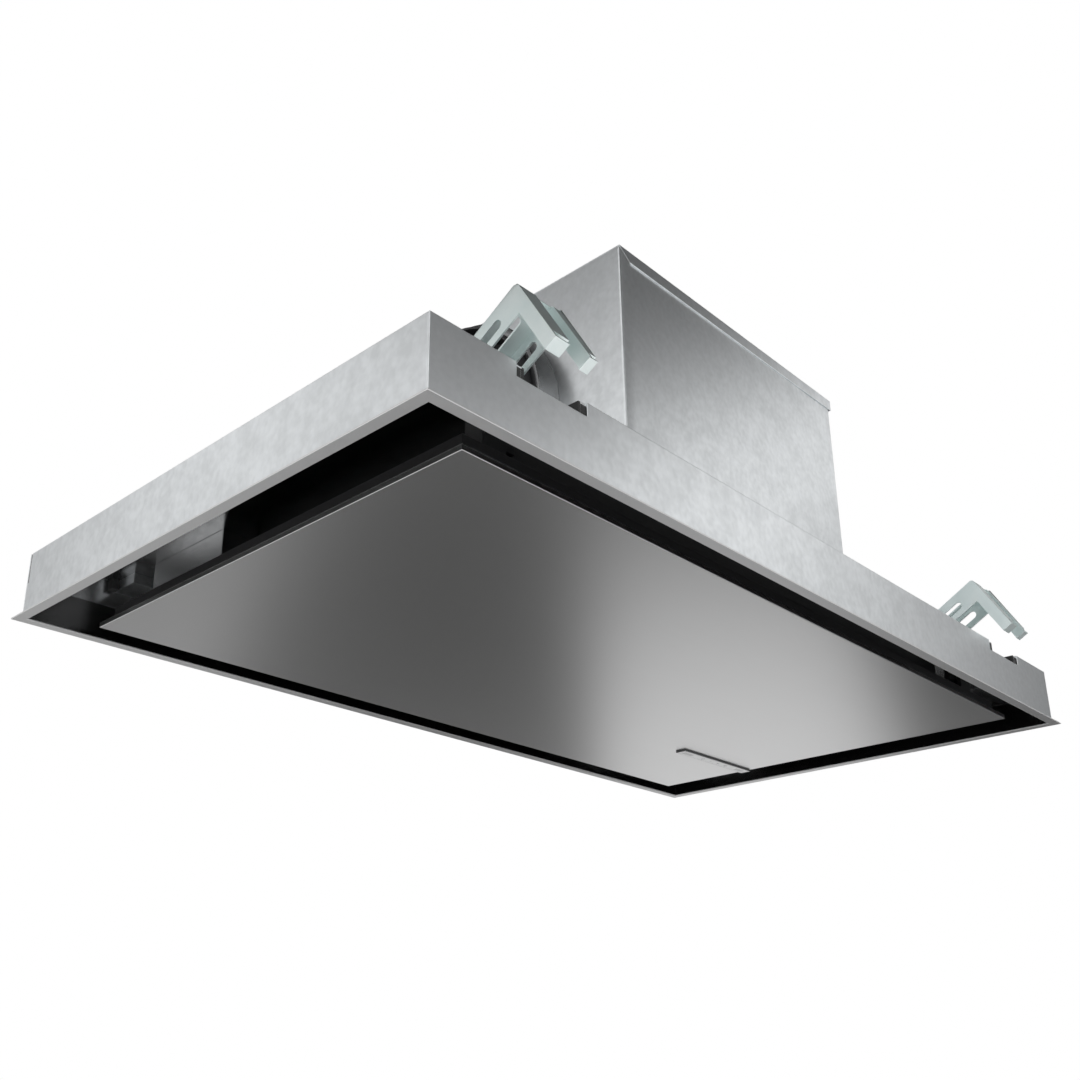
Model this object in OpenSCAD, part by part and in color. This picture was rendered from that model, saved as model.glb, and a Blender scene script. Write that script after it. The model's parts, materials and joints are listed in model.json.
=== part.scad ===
// Ceiling range hood: a collar set into a ceiling cut-out, a motor box above it,
// and a suction panel that folds down. Millimetres, +Z up, X along the long side.
// The origin is the middle of the cut-out, in the ceiling plane on top of the frame's rim.

/* [Frame] */
// Width of the visible frame, left to right
frame_w = 900; // [800:10:1200]
// Depth of the visible frame, front to back
frame_d = 500; // [480:10:560]
// Width of the rim seen from below
rim_w = 9.5; // [9:0.5:14]
// Thickness of the frame's sheet
frame_t = 1.2; // [0.8:0.1:1.4]
// Height of the frame's upstand inside the collar
upstand_h = 30; // [20:1:40]

/* [Collar] */
// Distance from the frame's end to the collar's end wall
collar_inset_x = 6; // [4:0.5:6.5]
// Distance from the frame's long edge to the collar's long wall
collar_inset_y = 6.5; // [4:0.5:6.5]
// Height of the collar above the ceiling plane
collar_h = 56.4; // [54:0.2:70]
// Thickness of the collar's sheet
wall_t = 1.2; // [0.8:0.1:1.4]
// Depth of the return flange along the collar's top
return_d = 14; // [12:1:20]
// Width of each clamp notch in the long walls
notch_w = 66; // [60:1:76]
// Depth of each notch below the collar's top
notch_h = 10.3; // [8:0.1:12]
// Distance from the collar's end to a notch's middle
notch_inset = 105; // [95:1:110]
// Distance that the return flange's ends reach into a notch
notch_taper = 5.6; // [2:0.2:7]
// Gap left at the rear ends of the collar's end walls
corner_gap = 1.6; // [1:0.1:2.5]

/* [Deck] */
// Thickness of the deck plate
deck_t = 1.2; // [0.8:0.1:2]
// Length of the cut-out under each clamp, from the long wall
pocket_d = 31; // [30:1:36]
// Length of each fan intake, left to right
intake_l = 240; // [200:5:260]
// Distance from the filter housing's long wall to each fan intake
intake_margin = 13; // [13:0.5:15]

/* [Motor box] */
// Width and depth of the motor box
box_w = 341; // [330:1:370]
// Height of the hood above the ceiling plane
top_z = 297.8; // [290:0.2:320]
// Thickness of the box's sheet
box_t = 1.2; // [0.8:0.1:1.4]
// Width of the duct wall's wrapped corner that stays in sight
post_w = 13.5; // [10:0.5:20]
// Height of the lid's folded lip
lip_h = 10.8; // [8:0.2:14]
// Overhang of the lid beyond the right wall
lid_over = 3.5; // [3:0.5:5]

/* [Duct] */
// Outer radius of the outlet's base ring
ring_r = 102; // [100:0.5:108]
// Length of the base ring
ring_l = 25.5; // [20:0.5:32]
// Outer radius of the adaptor's lip
lip_r = 94; // [92:0.5:96]
// Reach of the adaptor beyond the base ring
lip_reach = 12; // [8:0.5:16]
// Outer radius of the duct spigot
spigot_r = 75; // [70:0.5:78]
// Wall of the adaptor and the spigot
spigot_t = 2.2; // [1.6:0.1:3]

/* [Blower] */
// Radius of the impeller
impeller_r = 76; // [70:0.5:76.5]
// Length of the impeller
impeller_l = 160; // [140:2:164]
// Number of blades
blade_n = 32; // [24:1:40]
// Inner width of the scroll
scroll_w = 172; // [170:1:180]
// Wall of the scroll
scroll_t = 2; // [1.5:0.1:2.6]
// Height of the shaft above the deck
shaft_h = 96; // [95:0.5:100]
// Radius of the motor
motor_r = 46; // [40:0.5:50]
// Radius of the shaft
shaft_r = 4; // [3:0.25:5]

/* [Filters] */
// Distance from the panel's end to the filter housing's end wall
plenum_margin_x = 60.5; // [50.5:1:90.5]
// Distance from the panel's long edge to the filter housing's long wall
plenum_margin_y = 40.5; // [40.5:0.5:46]
// Height of the filter housing below the deck
plenum_h = 26; // [22:0.5:28]
// Thickness of a grease filter
filter_t = 9; // [7:0.5:10]
// Width of a filter frame's rail
rail_w = 12; // [10:0.5:16]
// Gaps between the bars of a filter's grid
mesh_n = 10; // [6:1:12]

/* [Panel] */
// Width of the suction slot at the left and right
slot_x = 50; // [40:1:60]
// Width of the suction slot at the front and rear
slot_y = 25; // [20:1:30]
// Thickness of the panel's skin
skin_t = 1; // [0.8:0.1:1.4]
// Height of the skin's folded edge
edge_h = 4.5; // [3:0.1:6]
// Distance that the backing tray is set back
tray_inset = 8; // [3:0.5:9]
// Height of the backing tray
tray_h = 17; // [14:0.5:18]
// Distance from the panel's rear edge to the hinge axis
hinge_inset = 15.5; // [14:0.5:18]
// Height of the hinge axis above the tray
hinge_rise = 8; // [7.5:0.25:9]
// Distance from the panel's end to each hinge
hinge_side = 140.5; // [110.5:5:240.5]
// Length of the control strip
strip_l = 130.5; // [110:0.5:160]
// Width of the control strip
strip_w = 13; // [11:0.5:18]
// Height that the control strip stands proud
strip_h = 2; // [1:0.1:3]
// Distance of the control strip behind the panel's middle
strip_y = 100.5; // [40:0.5:150]

/* [Catches] */
// Distance from the panel's end to each catch
catch_side = 45.5; // [40:0.5:60]
// Distance from the panel's front edge to each catch
catch_inset = 25.5; // [22:0.5:30]

/* [Clamps] */
// Reach of a clamp from its pivot
clamp_reach = 81.6; // [80:0.2:84]
// Length of a clamp's arm
clamp_arm = 64.2; // [60:0.2:65]
// Width across a clamp's two cheeks
clamp_w = 36; // [30:0.5:40]
// Thickness of a clamp's sheet
clamp_t = 1.6; // [1.2:0.1:2]
// Distance of a clamp's pivot inside the long wall
pivot_inset = 79.2; // [78:0.2:81]
// Height of a clamp's pivot above the deck
pivot_h = 24; // [23:0.25:27]
// Upward tilt of the clamps as photographed
clamp_tilt = 30.2; // [28:0.2:34]

/* [Hidden] */
// Overrun of every cut
over = 1;
// Radial clearance of every turning fit
run_gap = 0.05;
// Clearance between neighbours that move past each other
side_gap = 0.5;
$fn = 64;

// Collar and recess
collar_w = frame_w - 2 * collar_inset_x;
collar_d = frame_d - 2 * collar_inset_y;
recess_w = collar_w - 2 * wall_t;
recess_d = collar_d - 2 * wall_t;
notch_x = collar_w / 2 - notch_inset;
notch_z = collar_h - notch_h;
deck_top = collar_h - wall_t;
deck_z = deck_top - deck_t;
opening_w = frame_w - 2 * rim_w;
opening_d = frame_d - 2 * rim_w;
seal_t = 2;
seal_l = 8;

// Motor box
box_half = box_w / 2;
box_right = box_half - lid_over;
lid_z = top_z - box_t;
duct_z = (deck_top + top_z) / 2;
box_foot = 14;
cover_left = post_w - box_half;
lip_z = top_z - lip_h;
post_back = 26;
screw_r = 2;
screw_head_r = 3.5;
screw_head_h = 2.2;
screw_inset = 20;

// Duct
web_z = 2;
spigot_set_back = 2;
spigot_end = ring_l + lip_reach - spigot_set_back;
spigot_in = spigot_r - spigot_t;
neck_r = spigot_r - side_gap;
flap_z = 9;
flap_t = 1.2;
flap_gap = 1.5;
flap_r = spigot_in - flap_gap;
flap_pin_r = 2;
flap_pin_y = 5;
flap_pin_half = spigot_r - spigot_t / 2;
flap_eye_r = 3.6;
flap_eye_l = 18;
flap_eye_x = 27;

// Blower, seen from the front with the shaft at its middle
shaft_x = 20;
shaft_z = deck_top + shaft_h;
tongue_gap = 7;
tongue_angle = 216;
scroll_end_angle = 450;
outlet_top = duct_z + spigot_in - shaft_z;
scroll_start_r = impeller_r + tongue_gap;
scroll_step = 9;
blade_w = 12;
blade_t = 1.2;
blade_tilt = 28;
ring_w = 5;
disc_t = 2.5;
disc_z = 8;
hub_r = 11;
hub_l = 30;
inlet_r = 62;
inlet_lip = 4;
inlet_depth = 5;
motor_gap = 4;
motor_back = scroll_w / 2 + scroll_t;
arm_w = 14;
arm_t = 2;
arm_angles = [30, 150, 270];
arm_reach = 74;
bush_r = 8;
bush_h = 8;
foot_t = 2;
foot_w = 26;
foot_x = 62;
foot_side_h = 34;

// Panel
panel_w = opening_w - 2 * slot_x;
panel_d = opening_d - 2 * slot_y;
panel_z = -frame_t;
tray_z = panel_z + skin_t;
tray_top = tray_z + tray_h;
tray_t = 1;
tray_w = panel_w - 2 * tray_inset;
tray_d = panel_d - 2 * tray_inset;
rib_w = 14;
rib_h = 3;
rib_n = 5;
hinge_x = panel_w / 2 - hinge_side;
hinge_y = panel_d / 2 - hinge_inset;
hinge_z = tray_top + hinge_rise;
hinge_pin_r = 2.5;
hinge_eye_r = 5.5;
hinge_eye_l = 22;
ear_t = 2;
ear_w = 14;
ear_gap = 0.4;
leaf_w = 30;
leaf_d = 26;
leaf_t = 1.5;
pin_head_r = 4;
pin_head_h = 1.5;
strip_x = panel_w / 2 - strip_l;
plug_margin = 10;
plug_w = 8;
cover_margin = 1.5;
cover_t = 0.6;
board_t = 1.6;
board_gap = 1;

// Filters and intakes
plenum_w = panel_w - 2 * plenum_margin_x;
plenum_d = panel_d - 2 * plenum_margin_y;
plenum_t = 1.2;
plenum_z = deck_z - plenum_h;
divider_w = 10;
ledge_w = 8;
filter_gap = 1.5;
filter_rise = 3;
filter_z = plenum_z + filter_rise;
bay_w = (plenum_w - 2 * plenum_t - divider_w) / 2;
bay_d = plenum_d - 2 * plenum_t;
bay_x = divider_w / 2 + bay_w / 2;
filter_w = bay_w - 2 * filter_gap;
filter_d = bay_d - 2 * filter_gap;
mesh_t = 3;
mesh_bar = 3;
tongue_w = 16;
tongue_t = 2;
tongue_z = filter_z + filter_t / 2;
latch_fit = 0.4;
latch_w = 44;
latch_t = 3;
latch_travel = 5;
intake_gap = 2;
intake_y = motor_back + foot_w + intake_gap;
intake_far = plenum_d / 2 - intake_margin;

// Catches
catch_y = catch_inset - panel_d / 2;
catch_w = 22;
catch_d = 16;
catch_x = panel_w / 2 - catch_side;
catch_clear = 5;
catch_z = tray_top + catch_clear;
catch_slot_d = 9;
catch_slot_top = 43;
catch_wall = 4;
lever_t = 6;
lever_z = 36;
lever_offset = 5;
lever_eye_r = 4;
lever_pin_r = 1.5;
finger_l = 19;
finger_h = 5;
lever_arm_w = 4;
lever_arm_x = 3;
lever_arm_z = 8.5;
roller_r = 2.5;
striker_gap = 0.4;
striker_t = 2.5;
striker_top = 30;
striker_foot = 10;
striker_foot_t = 1.5;

// Clamps, drawn about the pivot with the leg level and the arm hanging at the far end
pivot_y = pivot_inset - collar_d / 2;
pivot_z = deck_top + pivot_h;
clamp_eye_r = 11.2;
clamp_top = clamp_eye_r;
clamp_low = clamp_top - clamp_arm;
arm_bar = 10.6;
cheek_slot_w = 8;
cheek_slot_z = -1.2;
cheek_slot_near = 33.5;
cheek_slot_far = 57.5;
top_slot_w = 9.4;
top_slot_near = 22;
top_slot_far = 63;
arm_flange_rise = 6;
near_flange_gap = 1;
far_flange_clear = 2.4;
far_flange_x = notch_w / 2 - notch_taper - far_flange_clear;
near_foot_w = 13;
far_foot_w = 8;
clamp_pin_r = 3;
clamp_head_r = 5.5;
clamp_head_h = 3;
base_t = 2;
base_ear_w = 22;
base_foot_d = 40;
bolt_r = 4.6;
bolt_h = 3;
bolt_x = 9;
bolt_inset = 8;

// Electrics
terminal_gap = 2;
terminal_x = -plenum_w / 2 - terminal_gap;
terminal_w = 32;
terminal_d = 101;
terminal_h = 26;
terminal_t = 1;
gland_r = 12;
gland_nut_r = 15;
gland_h = 18;
gland_bore_r = 4.5;
gland_seat = 4;
gland_inset = 22;
gland_gap = 16;
gland_x = terminal_x - terminal_w / 2;
gland_y = base_ear_w / 2 - base_foot_d - pivot_y - gland_gap - gland_nut_r;
terminal_y = gland_y - gland_inset;
control_box_w = 120;
control_box_d = 28;
control_box_h = 90;
control_box_gap = 1;

module slab(x0, x1, y0, y1, z0, z1) {
    translate([x0, y0, z0]) cube([x1 - x0, y1 - y0, z1 - z0]);
}

module centred(w, d, z0, z1) {
    slab(-w / 2, w / 2, -d / 2, d / 2, z0, z1);
}

// A rectangular ring of outer size w by d and wall t
module ring(w, d, t, z0, z1) {
    difference() {
        centred(w, d, z0, z1);
        centred(w - 2 * t, d - 2 * t, z0 - over, z1 + over);
    }
}

module both_x() {
    children();
    mirror([1, 0, 0]) children();
}

module both_y() {
    children();
    mirror([0, 1, 0]) children();
}

// Draws a flat outline of (y, z) points as a plate from x to x + t
module plate_yz(x, t) {
    translate([x, 0, 0]) rotate([90, 0, 90]) linear_extrude(t) children();
}

// Draws a flat outline of (x, z) points as a plate from y to y + t
module plate_xz(y, t) {
    translate([0, y + t, 0]) rotate([90, 0, 0]) linear_extrude(t) children();
}

// Turns the Z axis to the duct's direction, out of the box's left face
module at_duct() {
    translate([-box_half, 0, duct_z]) rotate([0, -90, 0]) children();
}

// Turns the Z axis to the shaft's direction, towards the front
module at_shaft() {
    translate([shaft_x, 0, shaft_z]) rotate([90, 0, 0]) children();
}

module tube(r, t, z0, z1) {
    translate([0, 0, z0]) difference() {
        cylinder(r = r, h = z1 - z0);
        translate([0, 0, -over]) cylinder(r = r - t, h = z1 - z0 + 2 * over);
    }
}

module slot_2d(x0, x1, y, w) {
    translate([x0 + w / 2, y - w / 2]) square([x1 - x0 - w, w]);
    translate([x0 + w / 2, y]) circle(d = w);
    translate([x1 - w / 2, y]) circle(d = w);
}

module trim_frame() {
    color("#c9cbcc") {
        ring(frame_w, frame_d, rim_w, -frame_t, 0);
        ring(recess_w, recess_d, frame_t, 0, upstand_h);
    }
}

// The outline of a return flange, mitred at both ends, with its outer edge along y = 0
module return_outline(l) {
    polygon([[-l / 2, 0], [l / 2, 0], [l / 2 - return_d, return_d], [return_d - l / 2, return_d]]);
}

module notch_outline() {
    inner = notch_w / 2 - notch_taper;
    polygon([
        [-notch_w / 2, -over], [notch_w / 2, -over], [notch_w / 2, wall_t],
        [inner, return_d + over], [-inner, return_d + over], [-notch_w / 2, wall_t]
    ]);
}

module long_wall() {
    translate([0, -collar_d / 2, 0]) difference() {
        union() {
            slab(-collar_w / 2, collar_w / 2, 0, wall_t, 0, collar_h);
            translate([0, 0, deck_top]) linear_extrude(wall_t) return_outline(collar_w);
        }
        both_x() translate([notch_x, 0, notch_z]) linear_extrude(notch_h + over) notch_outline();
    }
}

module collar_front() {
    color("#c3c6c8") long_wall();
}

module collar_rear() {
    color("#c3c6c8") mirror([0, 1, 0]) long_wall();
}

// The end walls stand between the long walls, with an open seam at the rear
module end_wall() {
    inner = collar_d / 2 - wall_t;
    slab(-collar_w / 2, wall_t - collar_w / 2, -inner, inner - corner_gap, 0, collar_h);
    slab(-collar_w / 2, wall_t - collar_w / 2, inner - corner_gap, inner, 0, upstand_h);
    translate([-collar_w / 2, 0, deck_top]) rotate([0, 0, -90]) linear_extrude(wall_t) polygon([
        [return_d - collar_d / 2, return_d], [collar_d / 2 - return_d, return_d],
        [inner, wall_t], [wall_t - collar_d / 2 + corner_gap, wall_t]
    ]);
}

module collar_left() {
    color("#c3c6c8") end_wall();
}

module collar_right() {
    color("#c3c6c8") mirror([1, 0, 0]) end_wall();
}

module pocket_outline() {
    inner = notch_w / 2 - notch_taper;
    translate([-inner, -over]) square([2 * inner, pocket_d + over]);
}

module deck_plate() {
    color("#b4b7b9") difference() {
        centred(recess_w, recess_d, deck_z, deck_top);
        both_x() both_y() translate([notch_x, -recess_d / 2, deck_z - over])
            linear_extrude(deck_t + 2 * over) pocket_outline();
        both_y() slab(-intake_l / 2, intake_l / 2, intake_y, intake_far, deck_z - over, deck_top + over);
        translate([gland_x, gland_y, deck_z - over]) cylinder(r = gland_r, h = deck_t + 2 * over);
    }
}

// A closed tray under each clamp's cut-out, with its outer side against the long wall
module clamp_pockets() {
    half = notch_w / 2 - notch_taper;
    back = -recess_d / 2;
    color("#c3c6c8") both_x() both_y() translate([notch_x, 0, 0]) difference() {
        slab(-half - wall_t, half + wall_t, back, back + pocket_d + wall_t, notch_z - wall_t, deck_z);
        slab(-half, half, back - over, back + pocket_d, notch_z, deck_z + over);
    }
}

// Foam along both sides of each tray, inside it and in the notch's corners beside it
module pocket_seals() {
    half = notch_w / 2 - notch_taper;
    back = -recess_d / 2;
    outer = notch_w / 2 + seal_t;
    color("#17181a") both_x() both_y() translate([notch_x, 0, 0]) {
        difference() {
            slab(-half, half, back, back + pocket_d, notch_z, deck_top);
            slab(seal_t - half, half - seal_t, back - over, back + pocket_d + over,
                 notch_z - over, deck_top + over);
        }
        difference() {
            slab(-outer, outer, back, back + seal_l, notch_z - wall_t, deck_z);
            slab(-half - wall_t, half + wall_t, back - over, back + seal_l + over,
                 notch_z - wall_t - over, deck_z + over);
        }
    }
}

module plenum_frame() {
    front = -plenum_d / 2;
    ledge_z = filter_z + filter_t;
    slit_z = tongue_z - tongue_t / 2 - latch_fit;
    color("#1c1d1f") difference() {
        union() {
            ring(plenum_w, plenum_d, plenum_t, plenum_z, deck_z);
            ring(plenum_w - 2 * plenum_t, bay_d, ledge_w, ledge_z, ledge_z + plenum_t);
            slab(-divider_w / 2, divider_w / 2, -bay_d / 2, bay_d / 2, plenum_z, ledge_z + plenum_t);
            slab(-bay_w - divider_w / 2, bay_w + divider_w / 2, bay_d / 2 - ledge_w, bay_d / 2,
                plenum_z, filter_z - latch_fit);
        }
        both_x() slab(bay_x - tongue_w / 2 - latch_fit, bay_x + tongue_w / 2 + latch_fit, front - over,
            front + plenum_t + over, slit_z, slit_z + tongue_t + 2 * latch_fit);
    }
}

module filter_frame() {
    front = -filter_d / 2;
    translate([bay_x, 0, 0]) difference() {
        ring(filter_w, filter_d, rail_w, filter_z, filter_z + filter_t);
        slab(-tongue_w / 2 - latch_fit, tongue_w / 2 + latch_fit, front - over, front + rail_w + over,
            tongue_z - tongue_t / 2 - latch_fit, tongue_z + tongue_t / 2 + latch_fit);
    }
}

// A plain grid of bars from front to back inside a filter's frame
module filter_mesh() {
    w = filter_w - 2 * rail_w;
    d = filter_d - 2 * rail_w;
    pitch = (w - mesh_bar) / mesh_n;
    translate([bay_x - w / 2, -d / 2, filter_z + filter_t - mesh_t]) linear_extrude(mesh_t) difference() {
        square([w, d]);
        for (i = [0 : mesh_n - 1])
            translate([mesh_bar + i * pitch, mesh_bar]) square([pitch - mesh_bar, d - 2 * mesh_bar]);
    }
}

// A sprung tongue through the filter's front rail, with a finger bar under it
module filter_latch() {
    front = -filter_d / 2;
    grip = front + rail_w + latch_fit;
    translate([bay_x, 0, 0]) {
        slab(-tongue_w / 2, tongue_w / 2, -plenum_d / 2, grip + latch_travel,
            tongue_z - tongue_t / 2, tongue_z + tongue_t / 2);
        slab(-latch_w / 2 + latch_fit, latch_w / 2 - latch_fit, grip, grip + latch_t,
            filter_z - latch_t, tongue_z - tongue_t / 2);
    }
}

module filter_left_frame() {
    color("#b9bcbe") mirror([1, 0, 0]) filter_frame();
}

module filter_left_mesh() {
    color("#a7abad") mirror([1, 0, 0]) filter_mesh();
}

module filter_left_latch() {
    color("#2a2b2d") mirror([1, 0, 0]) filter_latch();
}

module filter_right_frame() {
    color("#b9bcbe") filter_frame();
}

module filter_right_mesh() {
    color("#a7abad") filter_mesh();
}

module filter_right_latch() {
    color("#2a2b2d") filter_latch();
}

// The duct side wall, turned round both left corners, with feet on the deck and under the lid
module box_duct_wall() {
    inner = box_half - 2 * box_t;
    color("#c6c9ca") difference() {
        union() {
            slab(-box_half, box_t - box_half, box_t - box_half, box_half - box_t, deck_top, lid_z);
            both_y() plate_xz(-box_half, box_t) polygon([
                [-box_half, deck_top], [cover_left, deck_top], [cover_left, lip_z], [-box_half, lid_z]
            ]);
            slab(-box_half, box_foot - box_half, -inner, inner, deck_top, deck_top + box_t);
            slab(-box_half, box_foot - box_half, -inner, inner, lid_z - box_t, lid_z);
        }
        at_duct() translate([0, 0, -2 * box_t]) cylinder(r = neck_r, h = 2 * box_t + over);
    }
}

// A cover stands behind the turned corner and the lid's lip
module side_cover() {
    slab(box_t - box_half, box_right, box_t - box_half, 2 * box_t - box_half, deck_top, lid_z);
}

module box_front_cover() {
    color("#c6c9ca") side_cover();
}

module box_rear_cover() {
    color("#c6c9ca") mirror([0, 1, 0]) side_cover();
}

// The right wall turns in behind both covers and under the lid
module box_right_wall() {
    inner = box_half - 2 * box_t;
    color("#c6c9ca") {
        slab(box_right - box_t, box_right, -inner, inner, deck_top, lid_z);
        both_y() slab(box_right - post_back, box_right, -inner, box_t - inner, deck_top, lid_z);
        slab(box_right - box_foot, box_right, -inner, inner, deck_top, deck_top + box_t);
        slab(box_right - box_foot, box_right, -inner, inner, lid_z - box_t, lid_z);
    }
}

// Lid plate with a lip along three sides; the long lips end in a slant at the duct wall
module box_lid() {
    color("#c8cbcc") {
        centred(box_w, box_w, lid_z, top_z);
        both_y() plate_xz(-box_half, box_t) polygon([
            [-box_half, lid_z], [box_half, lid_z], [box_half, lip_z], [cover_left, lip_z]
        ]);
        slab(box_half - box_t, box_half, -box_half, box_half, lip_z, lid_z);
    }
}

module screw_head() {
    cylinder(r = screw_head_r, h = screw_head_h);
}

// Screws through the lid's right and rear lips
module lid_screws() {
    reach = box_half - screw_inset;
    z = top_z - lip_h / 2;
    color("#8f9496") for (s = [-reach, 0, reach]) {
        translate([box_half, s, z]) rotate([0, 90, 0]) screw_head();
        translate([s, box_half, z]) rotate([-90, 0, 0]) screw_head();
    }
}

// Screws in the rear cover, two at each end
module cover_screws() {
    color("#8f9496") for (x = [cover_left + post_w / 2, box_right - post_w / 2],
            z = [deck_top + screw_inset, lip_z - screw_inset])
        translate([x, box_half - box_t, z]) rotate([-90, 0, 0]) screw_head();
}

module outlet_ring() {
    color("#9a9ea1") at_duct() {
        tube(ring_r, spigot_t, 0, ring_l);
        tube(ring_r, ring_r - lip_r - run_gap, ring_l - spigot_t, ring_l);
        tube(ring_r, ring_r - lip_r - run_gap, 0, spigot_t);
    }
}

// A cup whose lip stands out of the base ring, round the spigot that takes the duct
module duct_adaptor() {
    color("#141516") at_duct() difference() {
        union() {
            tube(lip_r, spigot_t, web_z, ring_l + lip_reach);
            tube(lip_r, lip_r - spigot_in, web_z, web_z + spigot_t);
            tube(spigot_r, spigot_t, web_z, spigot_end);
            tube(neck_r, neck_r - spigot_in, -box_t, web_z);
        }
        both_y() flap_axis(-flap_pin_half) cylinder(r = flap_pin_r, h = 2 * flap_pin_half);
    }
}

// Turns the Z axis along the rear flap's pin, starting at x
module flap_axis(x) {
    translate([x, flap_pin_y, flap_z]) rotate([0, 90, 0]) children();
}

// Two upright pins, one for each flap, with both ends seated in the spigot's wall
module flap_pins() {
    color("#8f9496") at_duct() both_y() flap_axis(-flap_pin_half)
        cylinder(r = flap_pin_r, h = 2 * flap_pin_half);
}

// Half a disc behind its pin, with two eyes that turn on the pin
module flap() {
    difference() {
        union() {
            translate([0, 0, flap_z - flap_eye_r]) linear_extrude(flap_t) intersection() {
                circle(r = flap_r);
                translate([-flap_r, side_gap]) square([2 * flap_r, flap_r]);
            }
            for (x = [-flap_eye_x - flap_eye_l, flap_eye_x]) flap_axis(x)
                cylinder(r = flap_eye_r, h = flap_eye_l);
        }
        flap_axis(-spigot_r) cylinder(r = flap_pin_r + run_gap, h = 2 * spigot_r);
    }
}

module flap_front() {
    color("#1a1b1c") at_duct() mirror([0, 1, 0]) flap();
}

module flap_rear() {
    color("#1a1b1c") at_duct() flap();
}

// Radius of the scroll's inner wall at an angle from the shaft; it grows steadily from the tongue to the top
function scroll_r(a) = scroll_start_r
    + (outlet_top - scroll_start_r) * (a - tongue_angle) / (scroll_end_angle - tongue_angle);

// The scroll's outline, grown outwards by t, open towards the duct wall up to x
module scroll_outline(t, x) {
    turns = [tongue_angle : scroll_step : scroll_end_angle];
    low = scroll_start_r * sin(tongue_angle);
    polygon(concat(
        [for (a = turns) (scroll_r(a) + t) * [cos(a), sin(a)]],
        [[x, outlet_top + t], [x, low - t]]
    ));
}

module scroll_wall() {
    x = box_t - box_half - shaft_x;
    color("#e2e3e0") at_shaft() translate([0, 0, -scroll_w / 2]) linear_extrude(scroll_w) difference() {
        scroll_outline(scroll_t, x);
        scroll_outline(0, x - over);
    }
}

// A side of the scroll with its inlet and an inward lip round it
module scroll_side() {
    x = box_t - box_half - shaft_x;
    at_shaft() {
        translate([0, 0, scroll_w / 2]) linear_extrude(scroll_t) difference() {
            scroll_outline(scroll_t, x);
            circle(r = inlet_r);
        }
        tube(inlet_r + inlet_lip, inlet_lip, scroll_w / 2 - inlet_depth, scroll_w / 2);
    }
}

module scroll_side_front() {
    color("#e2e3e0") scroll_side();
}

module scroll_side_rear() {
    color("#e2e3e0") mirror([0, 1, 0]) scroll_side();
}

module impeller() {
    inner = impeller_r - blade_w;
    color("#303234") at_shaft() difference() {
        union() {
            translate([0, 0, -impeller_l / 2]) linear_extrude(impeller_l) for (i = [1 : blade_n])
                rotate(i * 360 / blade_n) translate([inner, 0]) rotate(blade_tilt)
                    square([blade_w, blade_t]);
            tube(impeller_r, ring_w, -impeller_l / 2, disc_t - impeller_l / 2);
            tube(impeller_r, ring_w, impeller_l / 2 - disc_t, impeller_l / 2);
            translate([0, 0, -disc_z]) cylinder(r = impeller_r, h = disc_t);
            translate([0, 0, -disc_z - hub_l / 2]) cylinder(r = hub_r, h = hub_l);
        }
        translate([0, 0, -impeller_l / 2]) cylinder(r = shaft_r, h = impeller_l);
    }
}

module rotor_shaft() {
    color("#8f9496") at_shaft() translate([0, 0, -disc_z - hub_l / 2])
        cylinder(r = shaft_r, h = motor_back + disc_z + hub_l / 2 - motor_gap);
}

module fan_motor() {
    start = hub_l / 2 - disc_z + motor_gap;
    color("#55585a") at_shaft() difference() {
        union() {
            translate([0, 0, start + motor_gap]) cylinder(r = motor_r, h = motor_back - start - motor_gap);
            translate([0, 0, start]) cylinder(r = hub_r, h = motor_gap);
        }
        translate([0, 0, start - over]) cylinder(r = shaft_r + run_gap, h = motor_back + 2 * over);
    }
}

// Three arms that carry the motor in front of the scroll's inlet
module motor_spider() {
    color("#8f9496") at_shaft() translate([0, 0, motor_back]) linear_extrude(arm_t) difference() {
        union() {
            circle(r = motor_r);
            for (a = arm_angles) rotate(a) translate([0, -arm_w / 2]) square([arm_reach, arm_w]);
        }
        circle(r = shaft_r + motor_gap);
    }
}

// Angle feet on both sides of the scroll, standing on the rubber bushes
module blower_feet() {
    z = deck_top + bush_h;
    reach = foot_x + bush_r;
    color("#a3a7a9") both_y() difference() {
        union() {
            slab(shaft_x - reach, shaft_x + reach, -motor_back - foot_w, -motor_back, z, z + foot_t);
            for (x = [shaft_x - reach, shaft_x + reach - foot_w])
                slab(x, x + foot_w, -motor_back - foot_t, -motor_back, z, z + foot_side_h);
        }
        for (x = [shaft_x - foot_x, shaft_x + foot_x])
            translate([x, -motor_back - foot_w / 2, z - over]) cylinder(r = screw_r, h = foot_t + 2 * over);
    }
}

module blower_bushes() {
    color("#1b1b1b") both_y() for (x = [shaft_x - foot_x, shaft_x + foot_x])
        translate([x, -motor_back - foot_w / 2, deck_top]) cylinder(r = bush_r, h = bush_h);
}

// The control box hangs on the rear cover's inside, under the lid
module blower_control_box() {
    right = box_right - post_back - control_box_gap;
    back = box_half - 2 * box_t;
    top = lid_z - box_t - control_box_gap;
    color("#2b2d2f") slab(right - control_box_w, right, back - control_box_d, back,
        top - control_box_h, top);
}

// A sheet box under the deck, with a passage for the mains lead
module terminal_box() {
    left = terminal_x - terminal_w;
    back = terminal_y + terminal_d;
    color("#c6c9ca") difference() {
        slab(left, terminal_x, terminal_y, back, deck_z - terminal_h, deck_z);
        slab(left + terminal_t, terminal_x - terminal_t, terminal_y + terminal_t, back - terminal_t,
            deck_z - terminal_h + terminal_t, deck_z + over);
    }
}

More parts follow.
